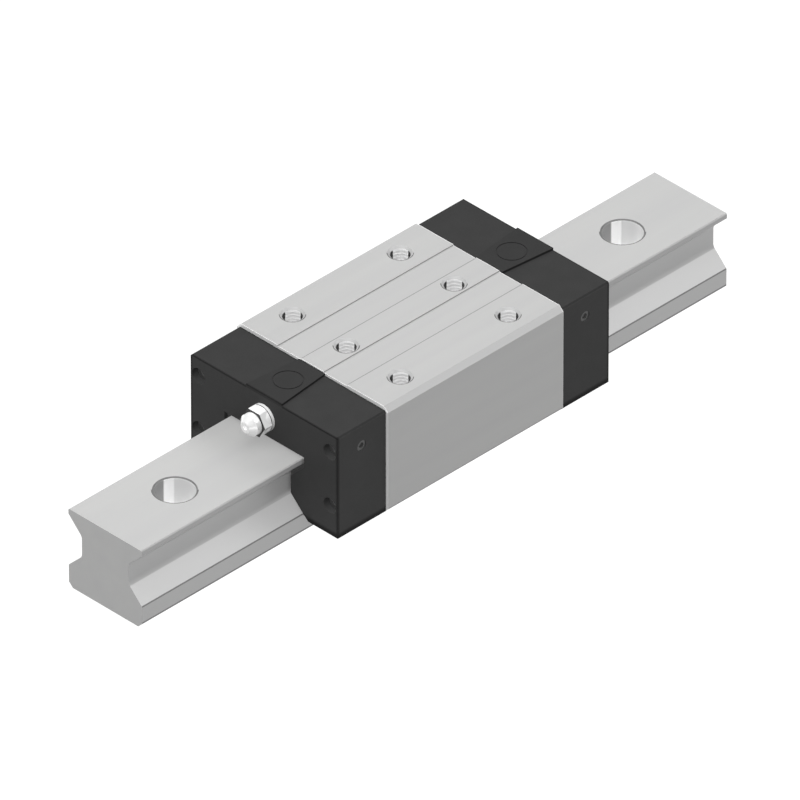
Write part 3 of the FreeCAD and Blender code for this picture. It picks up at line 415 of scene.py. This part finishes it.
def ground_color(recipe, dark, light):
    """The colour of a ground face, with faint broad streaks along X."""
    return recipe.mix(recipe.spread(recipe.noise(GRINDING_STREAKS, detail=2.0), 0, 1), dark, light)


def warm_ground_color(recipe, shades):
    """A ground face between two shades, the lighter one a touch warmer."""
    dark, light = shades
    return ground_color(recipe, grey(dark), grey(light, 0.01))


def grind(recipe, roughness):
    """Fine grinding lines along X, in the polish and the relief."""
    lines = recipe.noise(GRINDING_LINES, detail=4.0)
    recipe.polish(lines, roughness - 0.05, roughness + 0.08)
    recipe.relief(lines, strength=0.25, depth=0.00001)


def rail_steel(name):
    """Ground steel, brighter on the raceways, partly for their finish and partly as painted light, with painted
    light and shade on the waist, head and foot sides and thin painted shade lines along the foot's edges.
    """
    recipe = Recipe(name, RAIL_METALLIC, GROUND_ROUGHNESS)
    color = warm_ground_color(recipe, RAIL_SHADES)
    between_ends = recipe.within(recipe.x, END_FACE - RAIL_HALF_LENGTH, RAIL_HALF_LENGTH - END_FACE)
    races = recipe.math("ADD", *[recipe.within(recipe.z, *band) for band in RACEWAYS])
    races = recipe.both(races, between_ends)
    metallic = recipe.spread(races, RAIL_METALLIC, RACEWAY_METALLIC, 0, 1)
    recipe.feed(metallic, recipe.shader.inputs["Metallic"])
    # The raceways' lighter grey is partly their finer finish and partly painted light.
    color = recipe.mix(races, color, grey(RACEWAY_FINISH_AND_PAINTED_LIGHT))
    # Each band's grey is painted light or painted shade.
    for band, shade in RAIL_PAINTED_SHADING_BANDS:
        side = recipe.both(recipe.within(recipe.z, *band), between_ends)
        color = recipe.mix(side, color, grey(shade))
    half = RAIL_HOLE_PITCH / 2
    local_x = recipe.math("WRAP", recipe.x, half, -half)
    recipe.paint(bored_holes(recipe, color, local_x, recipe.y, RAIL_BORE))
    grind(recipe, GROUND_ROUGHNESS)
    return recipe.material


def block_steel(name):
    """Ground steel with painted light on the top chamfers and the ends, and thin painted shade lines along the
    recesses and the lower edge.
    """
    recipe = Recipe(name, metallic=0.15, roughness=GROUND_ROUGHNESS)
    color = warm_ground_color(recipe, BLOCK_SHADES)
    on_top = recipe.above(recipe.z, BLOCK_CROWN - RECESS_DEPTH)
    for place in RECESS_FAR_EDGES:
        line = recipe.within(recipe.y, place - RECESS_LINE, place + RECESS_LINE)
        # Painted shade lines along the recesses' far sides.
        color = recipe.mix(recipe.both(line, on_top), color, grey(RECESS_LINE_PAINTED_SHADE))
    over_cap = recipe.above(recipe.z, CAP_CROWN)
    chamfers = recipe.both(recipe.above(recipe.size(recipe.y), BLOCK_TOP_HALF_WIDTH), over_cap)
    # Painted light on the top chamfers, and a painted shade line along the lower edge.
    color = recipe.mix(chamfers, color, grey(BLOCK_CHAMFER_PAINTED_LIGHT))
    color = recipe.mix(recipe.within(recipe.z, *BLOCK_LOW_EDGE), color, grey(BLOCK_LOW_EDGE_PAINTED_SHADE))
    ends = recipe.above(recipe.size(recipe.x), BLOCK_HALF_LENGTH - END_FACE)
    # Painted light on the ends, brightest above the caps.
    color = recipe.mix(ends, color, grey(BLOCK_END_PAINTED_LIGHT))
    color = recipe.mix(recipe.both(ends, over_cap), color, grey(BLOCK_UPPER_END_PAINTED_LIGHT))
    half_x, half_y = TABLE_PITCH_X / 2, TABLE_PITCH_Y / 2
    local_x = recipe.math("SUBTRACT", recipe.math("WRAP", recipe.x, TABLE_PITCH_X, 0.0), half_x)
    local_y = recipe.math("WRAP", recipe.y, half_y, -half_y)
    recipe.paint(bored_holes(recipe, color, local_x, local_y, TABLE_BORE))
    grind(recipe, GROUND_ROUGHNESS)
    return recipe.material


def sheet_steel(name):
    """Rolled sheet with its lines along X."""
    roughness = 0.38
    recipe = Recipe(name, 0.9, roughness)
    recipe.paint(ground_color(recipe, grey(0.36), grey(0.46)))
    grind(recipe, roughness)
    return recipe.material


def turned_steel(name, shades, roughness, metallic=1.0):
    """Plated or polished small steel, with fine random marks."""
    recipe = Recipe(name, metallic, roughness)
    marks = recipe.noise(METAL_MARKS, detail=4.0)
    recipe.paint(recipe.clouded(recipe.noise(METAL_CLOUDS, detail=2.0), shades))
    recipe.polish(marks, roughness - 0.04, roughness + 0.08)
    recipe.relief(marks, strength=0.15, depth=0.000008)
    return recipe.material


def nipple_steel(name):
    """Bright nickel plate, with a painted shade line at each turned shoulder."""
    recipe = Recipe(name, metallic=0.35, roughness=0.2)
    color = recipe.clouded(recipe.noise(METAL_CLOUDS, detail=2.0), NIPPLE_SHADES)
    # Painted shade lines at the shoulders.
    for place in NIPPLE_SHOULDERS:
        line = recipe.within(recipe.x, place - NIPPLE_LINE, place + NIPPLE_LINE)
        color = recipe.mix(line, color, grey(NIPPLE_LINE_PAINTED_SHADE))
    recipe.paint(color)
    recipe.polish(recipe.noise(NIPPLE_MARKS), 0.16, 0.26)
    return recipe.material


def mould_grain(recipe, grain, low, high):
    """The fine leather-like grain of an etched mould, in the polish and the relief."""
    pits = recipe.noise(grain, detail=3.0, rough=0.6)
    recipe.polish(pits, low, high)
    recipe.relief(pits, strength=0.5, depth=0.00003)


def grained_plastic(name, dark, light, roughness, grain=PLASTIC_GRAIN):
    """Moulded plastic or rubber."""
    recipe = Recipe(name, metallic=0.0, roughness=roughness)
    recipe.paint(recipe.mix(recipe.noise(PLASTIC_CLOUDS, detail=2.0), dark, light))
    mould_grain(recipe, grain, roughness - 0.06, roughness + 0.1)
    return recipe.material


def cap_plastic(name):
    """Grained black plastic, painted darker on top as shade, with painted shade lines at each upright corner, the
    upper edges and beside the block, and painted shade towards the foot.
    """
    recipe = Recipe(name, metallic=0.0, roughness=0.55, gloss=0.04)
    color = recipe.clouded(recipe.noise(PLASTIC_CLOUDS, detail=2.0), CAP_SHADES)
    clouds = recipe.noise(CROWN_CLOUDS)
    # The top and the pad are painted darker, as shade.
    for crown, shades in ((CAP_CROWN, CAP_CROWN_PAINTED_SHADES), (PAD_CROWN, PAD_PAINTED_SHADES)):
        color = recipe.mix(recipe.above(recipe.z, crown), color, recipe.clouded(clouds, shades))

    from_middle = recipe.size(recipe.x)
    aside = recipe.size(recipe.y)
    on_pad = recipe.below(aside, PAD_HALF_WIDTH)
    rim_start = recipe.math("MULTIPLY_ADD", on_pad, PAD_HEIGHT, CAP_LINE_START)
    rim = recipe.both(recipe.above(from_middle, CAP_HALF_LENGTH - CAP_LINE), recipe.above(recipe.z, rim_start))
    seam = recipe.both(
        recipe.below(from_middle, BLOCK_HALF_LENGTH + CAP_LINE),
        recipe.above(recipe.z, CAP_LINE_START),
    )
    # Painted shade lines along the upper edges and beside the block, and painted shade towards the foot.
    color = recipe.mix(recipe.math("ADD", rim, seam), color, grey(CAP_LINE_PAINTED_SHADE))
    color = recipe.mix(recipe.spread(recipe.z, 1, 0, *CAP_FOOT), color, grey(CAP_FOOT_PAINTED_SHADE))

    # Painted shade lines at the upright corners.
    past_end = recipe.math("SUBTRACT", from_middle, CAP_HALF_LENGTH)
    past_side = recipe.math("SUBTRACT", aside, CAP_HALF_WIDTH)
    corner = recipe.spread(recipe.distance(past_end, past_side), CAP_CORNER_STRENGTH, 0, *CAP_CORNER)
    recipe.paint(recipe.mix(corner, color, grey(CAP_CORNER_PAINTED_SHADE)))
    mould_grain(recipe, PLASTIC_GRAIN, 0.49, 0.65)
    return recipe.material


def make_materials():
    """One material for each slot of the record, and two darker steels."""
    return {
        "rail_steel": rail_steel("rail_steel"),
        "block_steel": block_steel("block_steel"),
        "bearing_steel": turned_steel("bearing_steel", (0.66, 0.75), 0.12),
        "white_plastic": grained_plastic("white_plastic", grey(0.72, 0.05), grey(0.8, 0.04), 0.45),
        "guide_plastic": grained_plastic("guide_plastic", grey(0.03), grey(0.045), 0.4),
        "cap_plastic": cap_plastic("cap_plastic"),
        "seal_rubber": grained_plastic("seal_rubber", grey(0.05), grey(0.06), 0.75, grain=RUBBER_GRAIN),
        "sheet_steel": sheet_steel("sheet_steel"),
        "zinc_steel": turned_steel("zinc_steel", (0.52, 0.64), 0.3, metallic=0.6),
        "nipple_steel": nipple_steel("nipple_steel"),
        "dark_zinc": turned_steel("dark_zinc", (0.045, 0.06), 0.35, metallic=0.4),
        "black_steel": turned_steel("black_steel", (0.11, 0.15), 0.3, metallic=0.6),
    }


def dress_nodes(materials):
    """Each node takes the material of its slot, but the photograph's plugs and screws are darker than theirs."""
    own = {
        "front_side_plugs": "dark_zinc",
        "rear_side_plugs": "dark_zinc",
        "front_cap_screws": "black_steel",
        "rear_cap_screws": "black_steel",
    }
    for row in frame["record"]["subparts"]:
        mesh = nodes[row["node"]].data
        mesh.materials.clear()
        mesh.materials.append(materials[own.get(row["node"], row["material_slot"])])


# Pieces beyond the frame


def wound(name, profile, turns, pitch, steps, place, material):
    """A mesh swept along a helix and riding on the carriage.

    The profile is a list of radius and rise, and place turns a radius, an angle and a rise into a point.
    """
    count = len(profile)
    points = []
    faces = []
    for step in range(round(turns * steps) + 1):
        angle = 2 * math.pi * step / steps
        points += [place(radius, angle, rise + pitch * step / steps) for radius, rise in profile]
        if step:
            first = count * (step - 1)
            for side in range(count):
                after = (side + 1) % count
                faces.append((first + side, first + after, first + count + after, first + count + side))
    last = len(points) - count
    faces += [tuple(reversed(range(count))), tuple(range(last, last + count))]
    mesh = bpy.data.meshes.new(name)
    mesh.from_pydata(points, [], faces)
    work = bmesh.new()
    work.from_mesh(mesh)
    bmesh.ops.recalc_face_normals(work, faces=work.faces)
    work.to_mesh(mesh)
    work.free()
    mesh.materials.append(material)
    piece = bpy.data.objects.new(name, mesh)
    bpy.context.scene.collection.objects.link(piece)
    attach(piece, "carriage")
    return piece


def cut_thread(name, center_x, center_y, material):
    """The thread in one table hole: a sharp ridge that winds down the tapped bore."""
    flank = THREAD_HALF_WIDTH * THREAD_PITCH
    root = TABLE_BORE.radius + THREAD_ROOT
    profile = [(root, -flank), (TABLE_BORE.radius - THREAD_HEIGHT, 0.0), (root, flank)]

    def place(radius, angle, drop):
        x = center_x + radius * math.cos(angle)
        y = center_y + radius * math.sin(angle)
        return (x, y, BLOCK_CROWN - THREAD_START - drop)

    turns = THREAD_DEPTH / THREAD_PITCH
    ridge = wound(name, profile, turns, THREAD_PITCH, THREAD_STEPS, place, material)


def cut_threads(material):
    """One thread for each of the six table holes."""
    rows = {"right": -TABLE_PITCH_Y, "middle": 0.0, "left": TABLE_PITCH_Y}
    for hand, center_y in rows.items():
        for end, center_x in (("front", -TABLE_PITCH_X / 2), ("rear", TABLE_PITCH_X / 2)):
            cut_thread(f"{hand}_{end}_thread", center_x, center_y, material)


def wind_valve_spring(material):
    """The check valve's coil spring, of round wire."""
    low, high = (Vector(corner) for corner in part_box("nipple_spring"))
    middle = (low + high) / 2
    coil = (high.y - low.y) / 2 - SPRING_WIRE / 2
    around = [2 * math.pi * point / SPRING_WIRE_SIDES for point in range(SPRING_WIRE_SIDES)]
    profile = [(coil + SPRING_WIRE / 2 * math.cos(a), SPRING_WIRE / 2 * math.sin(a)) for a in around]
    turns = (high.x - low.x - SPRING_WIRE) / SPRING_PITCH

    def place(radius, angle, along):
        x = low.x + SPRING_WIRE / 2 + along
        return (x, middle.y + radius * math.cos(angle), middle.z + radius * math.sin(angle))

    spring = wound("valve_spring_coil", profile, turns, SPRING_PITCH, SPRING_STEPS, place, material)
    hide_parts("nipple_spring")
    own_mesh(spring)


add_camera()
add_floor()
add_lights()
materials = make_materials()
dress_nodes(materials)
cut_threads(materials["block_steel"])
wind_valve_spring(materials["bearing_steel"])
